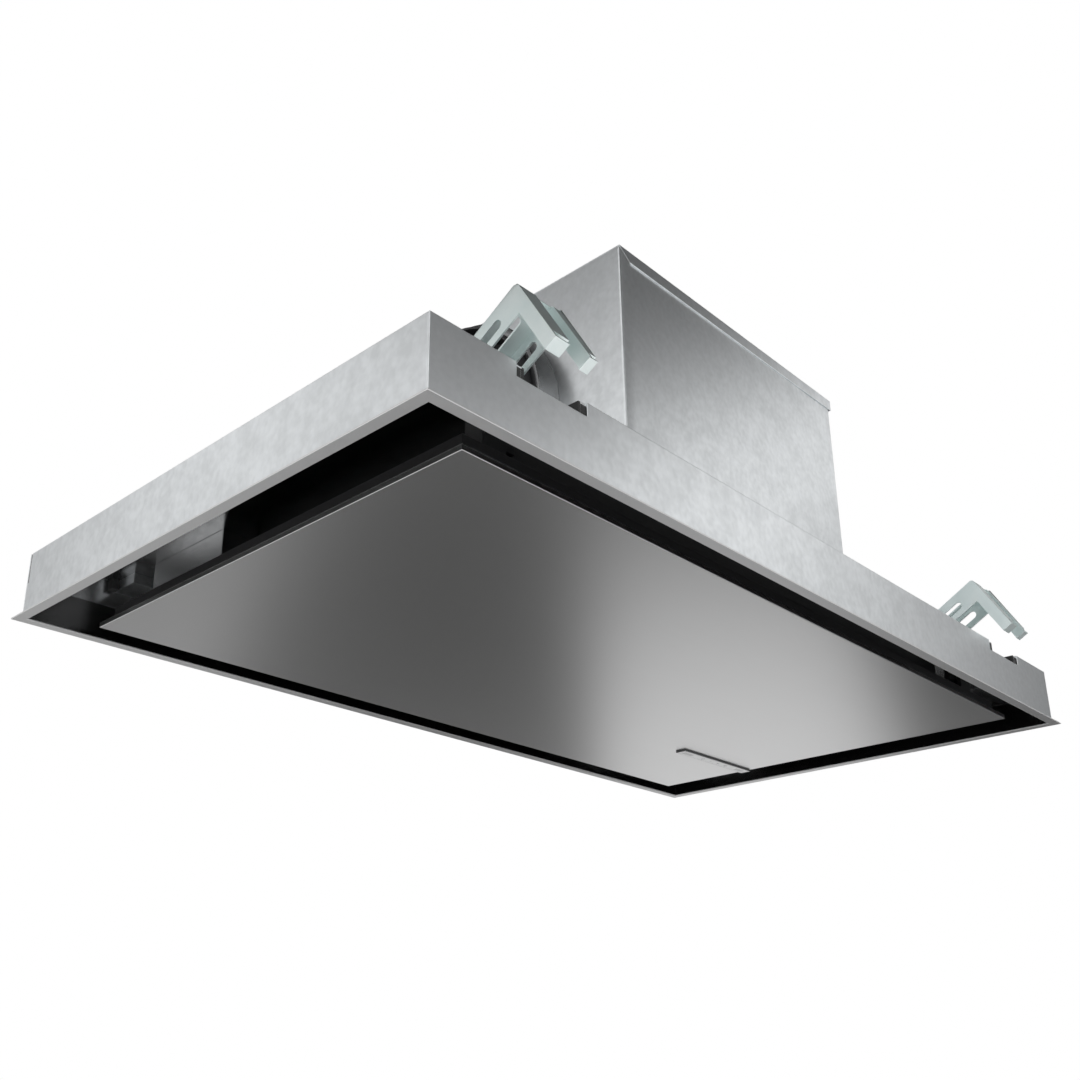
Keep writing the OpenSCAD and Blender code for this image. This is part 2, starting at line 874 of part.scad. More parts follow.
module mains_gland() {
    color("#202122") translate([gland_x, gland_y, deck_top]) difference() {
        union() {
            cylinder(r = gland_nut_r, h = gland_seat, $fn = 6);
            cylinder(r = gland_r, h = gland_h);
            translate([0, 0, -deck_t - gland_seat]) cylinder(r = gland_r, h = gland_seat + deck_t);
        }
        translate([0, 0, -deck_t - gland_seat - over]) cylinder(r = gland_bore_r, h = gland_h + deck_t
            + gland_seat + 2 * over);
    }
}

module hinge_ear_outline() {
    translate([hinge_y - ear_w / 2, hinge_z]) square([ear_w, deck_z - hinge_z]);
    translate([hinge_y, hinge_z]) circle(d = ear_w);
}

// Two ears under the deck at each hinge, on a common foot
module hinge_brackets() {
    inner = hinge_eye_l / 2 + ear_gap;
    color("#8f9496") both_x() difference() {
        union() {
            for (x = [hinge_x - inner - ear_t, hinge_x + inner]) plate_yz(x, ear_t) hinge_ear_outline();
            slab(hinge_x - inner - ear_t, hinge_x + inner + ear_t, hinge_y - ear_w / 2, hinge_y + ear_w / 2,
                deck_z - ear_t, deck_z);
        }
        translate([hinge_x - inner - ear_t - over, hinge_y, hinge_z]) rotate([0, 90, 0])
            cylinder(r = hinge_pin_r, h = 2 * (inner + ear_t + over));
    }
}

module hinge_pins() {
    half = hinge_eye_l / 2 + ear_gap + ear_t;
    color("#c9cbcc") both_x() translate([hinge_x, hinge_y, hinge_z]) rotate([0, 90, 0]) {
        translate([0, 0, -half]) cylinder(r = hinge_pin_r, h = 2 * half);
        translate([0, 0, half]) cylinder(r = pin_head_r, h = pin_head_h);
        translate([0, 0, -half - pin_head_h]) cylinder(r = pin_head_r, h = pin_head_h);
    }
}

// A leaf on the tray's back with an eye that turns on the pin
module hinge_leaves() {
    color("#8f9496") both_x() difference() {
        union() {
            translate([hinge_x - leaf_w / 2, hinge_y + hinge_eye_r - leaf_d, tray_top])
                cube([leaf_w, leaf_d, leaf_t]);
            slab(hinge_x - hinge_eye_l / 2, hinge_x + hinge_eye_l / 2, hinge_y - hinge_eye_r,
                hinge_y + hinge_eye_r, tray_top, hinge_z);
            translate([hinge_x - hinge_eye_l / 2, hinge_y, hinge_z]) rotate([0, 90, 0])
                cylinder(r = hinge_eye_r, h = hinge_eye_l);
        }
        translate([hinge_x - hinge_eye_l, hinge_y, hinge_z]) rotate([0, 90, 0])
            cylinder(r = hinge_pin_r + run_gap, h = 2 * hinge_eye_l);
        both_edges() slab(hinge_x + hinge_eye_l / 2 + ear_gap / 2, hinge_x + leaf_w,
            hinge_y - ear_w / 2 - side_gap, hinge_y + ear_w / 2 + side_gap, tray_top - over, hinge_z);
    }
}

// Repeats a cut on the other side of a hinge's middle
module both_edges() {
    children();
    translate([2 * hinge_x, 0, 0]) mirror([1, 0, 0]) children();
}

// A block along the control strip, set back by e at its ends and w wide
module strip_block(e, w, z0, z1) {
    slab(strip_x + e, panel_w / 2 - e, strip_y - w / 2, strip_y + w / 2, z0, z1);
}

// A shallow pan: the visible sheet with its edges folded up
module panel_skin() {
    color("#8b8d8e") difference() {
        centred(panel_w, panel_d, panel_z, panel_z + edge_h);
        centred(panel_w - 2 * skin_t, panel_d - 2 * skin_t, tray_z, panel_z + edge_h + over);
        strip_block(plug_margin, plug_w, panel_z - over, tray_z + over);
    }
}

// The backing tray: side walls under a closed top with raised stiffening ribs
module panel_tray() {
    pitch = tray_w / rib_n;
    color("#3d4042") {
        ring(tray_w, tray_d, tray_t, tray_z, tray_top);
        centred(tray_w - 2 * tray_t, tray_d - 2 * tray_t, tray_top - tray_t, tray_top);
        for (i = [1 : rib_n - 1])
            slab(i * pitch - tray_w / 2 - rib_w / 2, i * pitch - tray_w / 2 + rib_w / 2,
                -tray_d / 4, tray_d / 4, tray_top, tray_top + rib_h);
    }
}

// The raised strip under the panel, with a plug through the skin and a recess for its cover
module control_bezel() {
    low = panel_z - strip_h;
    color("#4a4c4e") difference() {
        union() {
            strip_block(0, strip_w, low, panel_z);
            strip_block(plug_margin, plug_w, panel_z, tray_z + board_gap);
        }
        strip_block(cover_margin, strip_w - 2 * cover_margin, low - over, low + cover_t);
    }
}

module control_cover() {
    low = panel_z - strip_h;
    color("#6a6c6e") strip_block(cover_margin, strip_w - 2 * cover_margin, low, low + cover_t);
}

module control_board() {
    z = tray_z + board_gap;
    color("#23402c") strip_block(plug_margin, 2 * strip_w, z, z + board_t);
}

// Posts on the tray that the catch rollers close on, each on a small foot
module panel_strikers() {
    x = catch_x - lever_offset + lever_arm_x + roller_r + striker_gap;
    color("#2b2c2e") both_x() {
        slab(x, x + striker_t, catch_y - lever_t / 2, catch_y + lever_t / 2, tray_top, striker_top);
        slab(x, x + striker_foot, catch_y - lever_t / 2, catch_y + lever_t / 2, tray_top,
            tray_top + striker_foot_t);
    }
}

// Catch bodies under the deck, open below and towards the panel's middle
module catch_housings() {
    color("#131415") both_x() difference() {
        slab(catch_x - catch_w / 2, catch_x + catch_w / 2, catch_y - catch_d / 2, catch_y + catch_d / 2,
            catch_z, deck_z);
        slab(catch_x - catch_w / 2 - over, catch_x + catch_w / 2 - catch_wall, catch_y - catch_slot_d / 2,
            catch_y + catch_slot_d / 2, catch_z - over, catch_slot_top);
        translate([catch_x - lever_offset, catch_y - catch_d / 2 - over, lever_z]) rotate([-90, 0, 0])
            cylinder(r = lever_pin_r, h = catch_d + 2 * over);
    }
}

module catch_pins() {
    color("#8f9496") both_x() translate([catch_x - lever_offset, catch_y - catch_d / 2, lever_z])
        rotate([-90, 0, 0]) cylinder(r = lever_pin_r, h = catch_d);
}

// A bell crank: a finger towards the panel's middle, and an arm down to the roller beside the striker
module catch_lever() {
    translate([catch_x - lever_offset, catch_y + lever_t / 2, lever_z]) rotate([90, 0, 0]) difference() {
        union() {
            cylinder(r = lever_eye_r, h = lever_t);
            translate([-finger_l, -finger_h, 0]) cube([finger_l, finger_h, lever_t]);
            translate([lever_arm_x - lever_arm_w / 2, -lever_arm_z, 0])
                cube([lever_arm_w, lever_arm_z, lever_t]);
            translate([lever_arm_x, -lever_arm_z, 0]) cylinder(r = roller_r, h = lever_t);
        }
        translate([0, 0, -over]) cylinder(r = lever_pin_r + run_gap, h = lever_t + 2 * over);
    }
}

module catch_left_lever() {
    color("#202123") mirror([1, 0, 0]) catch_lever();
}

module catch_right_lever() {
    color("#202123") catch_lever();
}

// A cheek's outline: a level leg with a slot, and the arm hanging at its far end
module cheek_outline() {
    difference() {
        union() {
            circle(r = clamp_eye_r);
            polygon([
                [0, clamp_top], [clamp_reach, clamp_top], [clamp_reach, clamp_low],
                [clamp_reach - arm_bar, clamp_low], [clamp_reach - arm_bar, -clamp_eye_r], [0, -clamp_eye_r]
            ]);
        }
        circle(r = clamp_pin_r + run_gap);
        slot_2d(cheek_slot_near, cheek_slot_far, cheek_slot_z, cheek_slot_w);
    }
}

// A channel open below: two cheeks under a slotted top, with a flange and a foot on each arm.
// The left arm's flange turns inwards and the right arm's turns outwards.
module clamp() {
    side = clamp_w / 2;
    flange_z = clamp_low + arm_flange_rise;
    flange_y = clamp_reach - clamp_t;
    translate([0, pivot_y, pivot_z]) mirror([0, 1, 0]) rotate([clamp_tilt, 0, 0]) {
        both_x() plate_yz(side - clamp_t, clamp_t) cheek_outline();
        translate([0, 0, clamp_top - clamp_t]) linear_extrude(clamp_t) difference() {
            translate([-side, clamp_eye_r]) square([clamp_w, flange_y - clamp_eye_r]);
            rotate(90) slot_2d(top_slot_near, top_slot_far, 0, top_slot_w);
        }
        slab(-side, -near_flange_gap, flange_y, clamp_reach, flange_z, clamp_top);
        slab(side - clamp_t, far_flange_x, flange_y, clamp_reach, flange_z, clamp_top);
        slab(-side, near_foot_w - side, clamp_reach - arm_bar, clamp_reach, clamp_low - clamp_t, clamp_low);
        slab(side - far_foot_w / 2, side + far_foot_w / 2, clamp_reach - arm_bar, clamp_reach,
            clamp_low - clamp_t, clamp_low);
    }
}

module clamp_front_left() {
    color("#c3d3d1") translate([-notch_x, 0, 0]) clamp();
}

module clamp_front_right() {
    color("#c3d3d1") translate([notch_x, 0, 0]) clamp();
}

// The rear clamps are the front ones turned half round
module clamp_rear_left() {
    color("#c3d3d1") translate([-notch_x, 0, 0]) rotate(180) clamp();
}

module clamp_rear_right() {
    color("#c3d3d1") translate([notch_x, 0, 0]) rotate(180) clamp();
}

module base_ear_outline() {
    translate([pivot_y, pivot_z]) circle(d = base_ear_w);
    translate([pivot_y - base_ear_w / 2, deck_top]) square([base_ear_w, pivot_h]);
}

// A channel on the deck whose ears carry each clamp's pivot
module clamp_bases() {
    inner = clamp_w / 2 + side_gap;
    color("#b9c8c7") both_x() both_y() translate([-notch_x, 0, 0]) difference() {
        union() {
            for (x = [-inner - base_t, inner]) plate_yz(x, base_t) base_ear_outline();
            translate([-inner - base_t, pivot_y - base_ear_w / 2, deck_top])
                cube([2 * (inner + base_t), base_foot_d, base_t]);
        }
        translate([-clamp_w, pivot_y, pivot_z]) rotate([0, 90, 0])
            cylinder(r = clamp_pin_r, h = 2 * clamp_w);
    }
}

module base_bolts() {
    y = pivot_y - base_ear_w / 2 + base_foot_d - bolt_inset;
    color("#d4d8d8") both_x() both_y() for (x = [-bolt_x, bolt_x])
        translate([x - notch_x, y, deck_top + base_t]) cylinder(r = bolt_r, h = bolt_h, $fn = 6);
}

module clamp_pins() {
    half = clamp_w / 2 + side_gap + base_t;
    color("#d4d8d8") both_x() both_y() translate([-notch_x, pivot_y, pivot_z]) rotate([0, 90, 0]) {
        translate([0, 0, -half]) cylinder(r = clamp_pin_r, h = 2 * half);
        translate([0, 0, half]) cylinder(r = clamp_head_r, h = clamp_head_h);
        translate([0, 0, -half - clamp_head_h]) cylinder(r = clamp_head_r, h = clamp_head_h, $fn = 6);
    }
}

trim_frame();
collar_front();
collar_rear();
collar_left();
collar_right();
deck_plate();
clamp_pockets();
pocket_seals();
plenum_frame();
filter_left_frame();
filter_left_mesh();
filter_left_latch();
filter_right_frame();
filter_right_mesh();
filter_right_latch();
box_duct_wall();
box_front_cover();
box_rear_cover();
box_right_wall();
box_lid();
lid_screws();
cover_screws();
outlet_ring();
duct_adaptor();
flap_front();
flap_rear();
flap_pins();
scroll_wall();
scroll_side_front();
scroll_side_rear();
impeller();
rotor_shaft();
fan_motor();
motor_spider();
blower_feet();
blower_bushes();
blower_control_box();
terminal_box();
mains_gland();
hinge_brackets();
hinge_pins();
hinge_leaves();
panel_skin();
panel_tray();
control_bezel();
control_cover();
control_board();
panel_strikers();
catch_housings();
catch_pins();
catch_left_lever();
catch_right_lever();
clamp_bases();
base_bolts();
clamp_pins();
clamp_front_left();
clamp_front_right();
clamp_rear_left();
clamp_rear_right();
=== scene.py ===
# Ceiling range hood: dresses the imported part, then sets the floor, lights and camera
import json
import math

import bmesh
import bpy
import numpy as np
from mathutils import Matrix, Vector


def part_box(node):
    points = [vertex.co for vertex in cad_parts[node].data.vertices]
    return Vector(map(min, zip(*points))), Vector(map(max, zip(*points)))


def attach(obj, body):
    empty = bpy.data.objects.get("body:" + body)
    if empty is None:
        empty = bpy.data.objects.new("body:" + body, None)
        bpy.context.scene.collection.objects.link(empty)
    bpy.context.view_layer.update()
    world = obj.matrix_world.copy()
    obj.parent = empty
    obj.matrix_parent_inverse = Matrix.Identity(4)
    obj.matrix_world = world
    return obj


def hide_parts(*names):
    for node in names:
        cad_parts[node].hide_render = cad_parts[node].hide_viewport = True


mm = 0.001
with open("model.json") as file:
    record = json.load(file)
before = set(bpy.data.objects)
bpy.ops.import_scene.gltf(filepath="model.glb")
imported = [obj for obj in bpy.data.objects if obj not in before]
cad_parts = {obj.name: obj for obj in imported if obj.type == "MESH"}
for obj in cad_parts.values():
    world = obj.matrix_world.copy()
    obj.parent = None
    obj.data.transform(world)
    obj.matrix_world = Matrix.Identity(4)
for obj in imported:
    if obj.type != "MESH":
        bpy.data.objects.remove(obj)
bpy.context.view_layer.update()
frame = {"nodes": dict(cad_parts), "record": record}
nodes = frame["nodes"]
bodyOf = {n: b for b, names in frame["record"]["behaviour"]["bodies"].items() for n in names}
slotOf = {s["node"]: s["material_slot"] for s in frame["record"]["subparts"]}
print("frame loaded:", len(nodes), "nodes")

# Materials


class Finish:
    def __init__(self, name, colour, metallic, roughness):
        self.mat = bpy.data.materials.new(name)
        self.mat.use_nodes = True
        self.tree = self.mat.node_tree
        self.shader = self.tree.nodes["Principled BSDF"]
        self.shader.inputs["Base Color"].default_value = (*colour, 1)
        self.shader.inputs["Metallic"].default_value = metallic
        self.shader.inputs["Roughness"].default_value = roughness

    def node(self, kind, **settings):
        n = self.tree.nodes.new(kind)
        for key, value in settings.items():
            setattr(n, key, value)
        return n

    def link(self, a, b):
        self.tree.links.new(a, b)

    # Object coordinates stretched by one factor per axis
    def place(self, stretch):
        coord = self.node("ShaderNodeTexCoord")
        mapping = self.node("ShaderNodeMapping")
        mapping.inputs["Scale"].default_value = stretch
        self.link(coord.outputs["Object"], mapping.inputs["Vector"])
        return mapping.outputs["Vector"]

    def noise(self, stretch, scale, detail, roughness=0.5):
        n = self.node("ShaderNodeTexNoise")
        n.inputs["Scale"].default_value = scale
        n.inputs["Detail"].default_value = detail
        n.inputs["Roughness"].default_value = roughness
        self.link(self.place(stretch), n.inputs["Vector"])
        return n.outputs["Fac"]

    # Roughness that runs from one value to another as the pattern goes from 0 to 1
    def wear(self, value, first, second):
        n = self.node("ShaderNodeMapRange")
        n.inputs["To Min"].default_value = first
        n.inputs["To Max"].default_value = second
        self.link(value, n.inputs["Value"])
        self.link(n.outputs["Result"], self.shader.inputs["Roughness"])

    def tint(self, value, dark, light, low=0.3, high=0.7):
        n = self.node("ShaderNodeValToRGB")
        first, second = n.color_ramp.elements
        first.position, second.position = low, high
        first.color, second.color = (*dark, 1), (*light, 1)
        self.link(value, n.inputs["Fac"])
        self.link(n.outputs["Color"], self.shader.inputs["Base Color"])

    def bump(self, value, strength, distance):
        n = self.node("ShaderNodeBump")
        n.inputs["Strength"].default_value = strength
        n.inputs["Distance"].default_value = distance
        self.link(value, n.inputs["Height"])
        self.link(n.outputs["Normal"], self.shader.inputs["Normal"])


# Soft zinc mottle over wider clouds, both a little drawn out along the sheet's height
def galvanised(name, dark, light, roughness=0.3):
    f = Finish(name, light, 1.0, roughness)
    mixed = f.node("ShaderNodeMix", data_type="FLOAT")
    mixed.inputs["Factor"].default_value = 0.5
    f.link(f.noise((1, 1, 0.9), 190, 1), mixed.inputs["A"])
    f.link(f.noise((1, 1, 0.8), 52, 2), mixed.inputs["B"])
    f.tint(mixed.outputs["Result"], dark, light, 0.36, 0.64)
    f.wear(mixed.outputs["Result"], roughness + 0.05, roughness - 0.05)
    return f.mat


# Fine hairlines along X on a satin ground
def brushed(name, colour, roughness, hair=(2, 300, 300), depth=0.08):
    f = Finish(name, colour, 1.0, roughness)
    hairs = f.noise(hair, 5, 2, 0.6)
    f.wear(hairs, roughness - 0.035, roughness + 0.035)
    f.bump(hairs, depth, 0.06 * mm)
    return f.mat


# Moulded plastic with a faint grain
def moulded(name, colour, roughness, grain=0.12):
    f = Finish(name, colour, 0.0, roughness)
    speck = f.noise((1, 1, 1), 900, 2)
    f.tint(speck, [c * 0.88 for c in colour], [min(1, c * 1.1) for c in colour])
    f.bump(speck, grain, 0.1 * mm)
    return f.mat


# Plated or plain metal with soft clouds
def plated(name, dark, light, roughness, scale=60):
    f = Finish(name, light, 1.0, roughness)
    clouds = f.noise((1, 1, 1), scale, 4)
    f.tint(clouds, dark, light)
    f.wear(clouds, roughness + 0.05, roughness - 0.05)
    return f.mat


evenGrain = (20, 20, 20)
finishes = {
    "satin_stainless": brushed("satinStainless", (0.6, 0.6, 0.6), 0.3),
    "galvanised_sheet": galvanised("galvanisedSheet", (0.725, 0.748, 0.76), (0.832, 0.857, 0.872)),
    "dark_zinc": plated("darkZinc", (0.17, 0.175, 0.18), (0.24, 0.245, 0.25), 0.3),
    "black_paint": moulded("blackPaint", (0.018, 0.018, 0.019), 0.5),
    "filter_aluminium": plated("filterAluminium", (0.58, 0.585, 0.59), (0.72, 0.725, 0.73), 0.32),
    "black_plastic": moulded("blackPlastic", (0.014, 0.014, 0.015), 0.42),
    "grey_plastic": plated("greyOutlet", (0.28, 0.285, 0.29), (0.34, 0.345, 0.35), 0.26),
    "pale_plastic": moulded("palePlastic", (0.62, 0.62, 0.60), 0.42),
    "bezel_plastic": moulded("bezelPlastic", (0.045, 0.046, 0.048), 0.3, 0.03),
    "touch_cover": brushed("touchCover", (0.56, 0.56, 0.56), 0.3, evenGrain, 0.0),
    "board_green": moulded("boardGreen", (0.025, 0.11, 0.05), 0.35, 0.03),
    "motor_grey": plated("motorGrey", (0.20, 0.205, 0.21), (0.28, 0.285, 0.29), 0.4),
    "black_rubber": moulded("blackRubber", (0.02, 0.02, 0.02), 0.7),
    "bright_steel": plated("brightSteel", (0.60, 0.605, 0.61), (0.72, 0.725, 0.73), 0.22),
    "zinc_plate": plated("zincPlate", (0.78, 0.88, 0.87), (0.9, 0.97, 0.96), 0.44, 30),
}
# Finishes of single pieces and faces, where the slot's own one is too light or too dark; the recess and
# upstand ones are darkened as painted shade
partFinishes = {
    "rim": brushed("rimSatin", (0.74, 0.74, 0.74), 0.45, evenGrain, 0.02),
    # Darker zinc for the sheet inside the recess and for the terminal box there: painted shade of the
    # recess
    "recess": plated("shadedRecessZinc", (0.5, 0.505, 0.51), (0.58, 0.585, 0.59), 0.22),
    # Near-black steel for the rim's inward faces: a painted reflection of the dark recess, and painted
    # shade
    "upstand": brushed("shadedUpstandSteel", (0.17, 0.17, 0.17), 0.2, evenGrain, 0.02),
    "symbol": moulded("symbolGrey", (0.05, 0.05, 0.052), 0.4, 0.0),
    "window": brushed("windowGrey", (0.36, 0.36, 0.36), 0.3, evenGrain, 0.0),
}
print("finishes made:", len(finishes) + len(partFinishes))

# Mesh helpers: distances of the merges in metres, angles in degrees
meshing = {"nodeMerge": 0.00001, "pieceMerge": 0.000001, "flat": 0.6, "sharp": 32, "bevelSegments": 2}
# Which square corners are rounded: how near the top in mm, how straight along the axis,
# the turn between the two sides in radians, and the least side as a multiple of the radius
cornerPick = {"near": 12, "straight": 0.95, "turn": (1.2, 1.9), "side": 2.2, "segments": 5}


def addObject(name, mesh, mat, node, replace=True):
    obj = bpy.data.objects.new(name, mesh)
    bpy.context.scene.collection.objects.link(obj)
    mesh.materials.clear()
    mesh.materials.append(mat)
    if replace:
        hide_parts(node)
    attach(obj, bodyOf[node])
    return obj


# Marks edges sharper than the limit, so that flats stay flat and curves stay smooth
def smoothShade(bm, limit):
    for face in bm.faces:
        face.smooth = True
    for edge in bm.edges:
        if len(edge.link_faces) == 2:
            edge.smooth = edge.calc_face_angle(0) < math.radians(limit)


# Rounds the square outer corners along one axis of a bent sheet that reach near its top
def roundCorners(bm, radius, axis):
    picked = []
    top = max(v.co.z for v in bm.verts) - cornerPick["near"] * mm
    least, most = cornerPick["turn"]
    p, q = (k for k in range(3) if k != axis)
    for edge in bm.edges:
        a, b = (v.co for v in edge.verts)
        if max(a.z, b.z) < top or len(edge.link_faces) != 2:
            continue
        if abs(b[axis] - a[axis]) < cornerPick["straight"] * (b - a).length:
            continue
        if not edge.is_convex or not least < edge.calc_face_angle(0) < most:
            continue
        reaches = [max(math.hypot(v.co[p] - a[p], v.co[q] - a[q]) for v in f.verts)
                   for f in edge.link_faces]
        if min(reaches) > cornerPick["side"] * radius * mm:
            picked.append(edge)
    bmesh.ops.bevel(bm, geom=picked, offset=radius * mm, segments=cornerPick["segments"],
                    profile=0.5, affect="EDGES", clamp_overlap=False)


# A CAD node with its doubles merged, its flats joined and its edges rounded by a bevel
def softened(node, name, width, mat=None, largeBends=()):
    mesh = nodes[node].data.copy()
    bm = bmesh.new()
    bm.from_mesh(mesh)
    bmesh.ops.remove_doubles(bm, verts=bm.verts, dist=meshing["nodeMerge"])
    bmesh.ops.dissolve_limit(bm, angle_limit=math.radians(meshing["flat"]), verts=bm.verts, edges=bm.edges)
    for radius, axis in largeBends:
        roundCorners(bm, radius, axis)
    smoothShade(bm, meshing["sharp"])
    bm.to_mesh(mesh)
    bm.free()
    obj = addObject(name, mesh, mat or finishes[slotOf[node]], node)
    bevel = obj.modifiers.new("roundedEdges", "BEVEL")
    bevel.width = width * mm
    bevel.segments = meshing["bevelSegments"]
    bevel.limit_method = "ANGLE"
    bevel.angle_limit = math.radians(meshing["sharp"])
    bevel.harden_normals = True
    bevel.use_clamp_overlap = True
    return obj


# Quads over a grid of rows by cols points; each direction may close on itself
def gridFaces(rows, cols, closeRows=False, closeCols=True):
    i = np.arange(rows if closeRows else rows - 1)
    j = np.arange(cols if closeCols else cols - 1)
    a, b = np.meshgrid(i, j, indexing="ij")
    a1, b1 = (a + 1) % rows, (b + 1) % cols
    quads = np.stack([a * cols + b, a * cols + b1, a1 * cols + b1, a1 * cols + b], -1)
    return quads.reshape(-1, 4)


def meshFrom(name, points, faces, limit):
    mesh = bpy.data.meshes.new(name)
    mesh.from_pydata(np.asarray(points).reshape(-1, 3).tolist(), [], np.asarray(faces).tolist())
    bm = bmesh.new()
    bm.from_mesh(mesh)
    bmesh.ops.remove_doubles(bm, verts=bm.verts, dist=meshing["pieceMerge"])
    bmesh.ops.recalc_face_normals(bm, faces=bm.faces)
    smoothShade(bm, limit)
    bm.to_mesh(mesh)
    bm.free()
    return mesh


# A new piece from a shape, which is its points in metres and its faces
def addPiece(name, shape, mat, node, replace=True, limit=35):
    return addObject(name, meshFrom(name, *shape, limit), mat, node, replace)


# Two directions square to an axis and to each other
def acrossAxis(axis):
    side = np.array([0, 0, 1.0]) if abs(axis[2]) < 0.5 else np.array([1.0, 0, 0])
    u = np.cross(side, axis)
    return u, np.cross(axis, u)


# Turns a closed profile of (radius, height) round an axis:
# point = centre + height * axis + radius * (cos, sin)
def turned(profile, centre, axis, segments=96):
    r, h = np.array(profile, float).T * mm
    t = np.linspace(0, 2 * np.pi, segments, endpoint=False)
    axis = np.array(axis, float)
    u, v = acrossAxis(axis)
    ring = np.cos(t)[:, None] * u + np.sin(t)[:, None] * v
    points = np.array(centre) * mm + h[:, None, None] * axis + r[:, None, None] * ring[None]
    return points, gridFaces(len(r), segments, closeRows=True)


# Rounds the corners of a closed profile: each corner p becomes a quadratic curve
# (1 - t)^2 a + 2 t (1 - t) p + t^2 b between two cut points a and b on its sides
def rounded(profile, radius):
    p = np.array(profile, float)
    before, after = np.roll(p, 1, 0) - p, np.roll(p, -1, 0) - p
    lb, la = np.linalg.norm(before, axis=1), np.linalg.norm(after, axis=1)
    cut = np.minimum(radius, 0.45 * np.minimum(lb, la))[:, None]
    a, b = p + before / lb[:, None] * cut, p + after / la[:, None] * cut
    t = np.linspace(0, 1, 4)[None, :, None]
    arc = (1 - t) ** 2 * a[:, None] + 2 * t * (1 - t) * p[:, None] + t**2 * b[:, None]
    return arc.reshape(-1, 2)


# Joins several (points, faces) pairs into one
def joined(parts):
    points, faces, start = [], [], 0
    for p, f in parts:
        p = np.asarray(p).reshape(-1, 3)
        points.append(p)
        faces.append(np.asarray(f) + start)
        start += len(p)
    return np.concatenate(points), np.concatenate(faces)


# A box from its two corners as eight points and six quads
def block(low, high):
    c = np.array([[x, y, z] for x in (0, 1) for y in (0, 1) for z in (0, 1)], float)
    points = (np.array(low) + c * (np.array(high) - np.array(low))) * mm
    sides = [[0, 1, 3, 2], [4, 6, 7, 5], [0, 4, 5, 1], [2, 3, 7, 6], [0, 2, 6, 4], [1, 5, 7, 3]]
    return points, np.array(sides)


# A node's lowest and highest corners in millimetres
def corners(node):
    low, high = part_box(node)
    return np.array(low) / mm, np.array(high) / mm


# Sheet metal pieces of the hood, each with the radius of its folded edges
sheetEdges = {
    "trim_frame": 0.5,
    "collar_front": 0.5,
    "collar_rear": 0.5,
    "collar_left": 0.5,
    "collar_right": 0.5,
    "deck_plate": 0.3,
    "plenum_frame": 0.3,
    "box_duct_wall": 0.5,
    "box_front_cover": 0.4,
    "box_rear_cover": 0.4,
    "box_right_wall": 0.4,
    "box_lid": 0.35,
    "terminal_box": 0.4,
    "panel_skin": 0.9,
    "panel_tray": 0.4,
    "hinge_brackets": 0.3,
    "hinge_leaves": 0.3,
    "clamp_bases": 0.35,
    "clamp_front_left": 0.4,
    "clamp_front_right": 0.4,
    "clamp_rear_left": 0.4,
    "clamp_rear_right": 0.4,
    "base_bolts": 0.4,
    "clamp_pins": 0.5,
    "blower_feet": 0.3,
    "motor_spider": 0.3,
    "scroll_wall": 0.5,
    "scroll_side_front": 0.5,
    "scroll_side_rear": 0.5,
    "blower_control_box": 1.2,
    "control_bezel": 0.7,
    "catch_housings": 0.8,
    "catch_left_lever": 0.5,
    "catch_right_lever": 0.5,
    "panel_strikers": 0.4,
    "filter_left_frame": 0.6,
    "filter_right_frame": 0.6,
    "filter_left_latch": 0.5,
    "filter_right_latch": 0.5,
    "clamp_pockets": 0.1,
    "pocket_seals": 0.1,
    "flap_front": 0.3,
    "flap_rear": 0.3,
    "mains_gland": 0.7,
}
# Larger bends: radius and the axis that each runs along
bends = {"box_duct_wall": [(2.0, 2)]}
for clampSide in ("front_left", "front_right", "rear_left", "rear_right"):
    bends["clamp_" + clampSide] = [(3.4, 0)]
# The terminal box takes the darker recess finish, which is painted shade
wholeFinish = {"trim_frame": partFinishes["rim"], "terminal_box": partFinishes["recess"]}
for sheetNode, edge in sheetEdges.items():
    softened(sheetNode, sheetNode + "_dressed", edge, wholeFinish.get(sheetNode), bends.get(sheetNode, ()))
print("edges rounded:", len(sheetEdges))


# Gives a second finish to the faces that a test picks from their centres in mm and their normals
def faceFinish(node, mat, test):
    mesh = bpy.data.objects[node + "_dressed"].data
    mesh.materials.append(mat)
    count = len(mesh.polygons)
    centre, normal = np.empty(count * 3), np.empty(count * 3)
    mesh.polygons.foreach_get("center", centre)
    mesh.polygons.foreach_get("normal", normal)
    picked = test(centre.reshape(-1, 3) / mm, normal.reshape(-1, 3))
    mesh.polygons.foreach_set("material_index", picked.astype(np.int32))


# Where the recess shows its inside: heights in mm, and limits for faces that look inward, outward or down
recess = {"low": 2, "high": 58, "inward": -50, "down": -0.9, "pocketEdge": 240, "pocketOutward": 200}


def facesDown(c, n):
    return n[:, 2] < recess["down"]


# Faces that look at the middle or straight down, above the rim
def facesInward(c, n):
    inward = c[:, 0] * n[:, 0] + c[:, 1] * n[:, 1] < recess["inward"]
    return (inward | facesDown(c, n)) & (c[:, 2] > recess["low"])


# Inside the recess the sheet is smoother and darker, its darkness painted shade, the rim's inward faces are
# darkened as painted reflection and shade, the bezel has a satin face, and the outward faces at the outer
# edges of the clamps' pockets take the black rubber finish
for sheetNode in ("collar_front", "collar_rear", "collar_left", "collar_right", "deck_plate"):
    faceFinish(sheetNode, partFinishes["recess"],
               lambda c, n: facesInward(c, n) & (c[:, 2] < recess["high"]))
faceFinish("trim_frame", partFinishes["upstand"], facesInward)
faceFinish("control_bezel", finishes["touch_cover"], facesDown)
faceFinish("clamp_pockets", finishes["black_rubber"],
           lambda c, n: (c[:, 1] * n[:, 1] > recess["pocketOutward"])
           & (abs(c[:, 1]) > recess["pocketEdge"]))
print("inner faces finished")

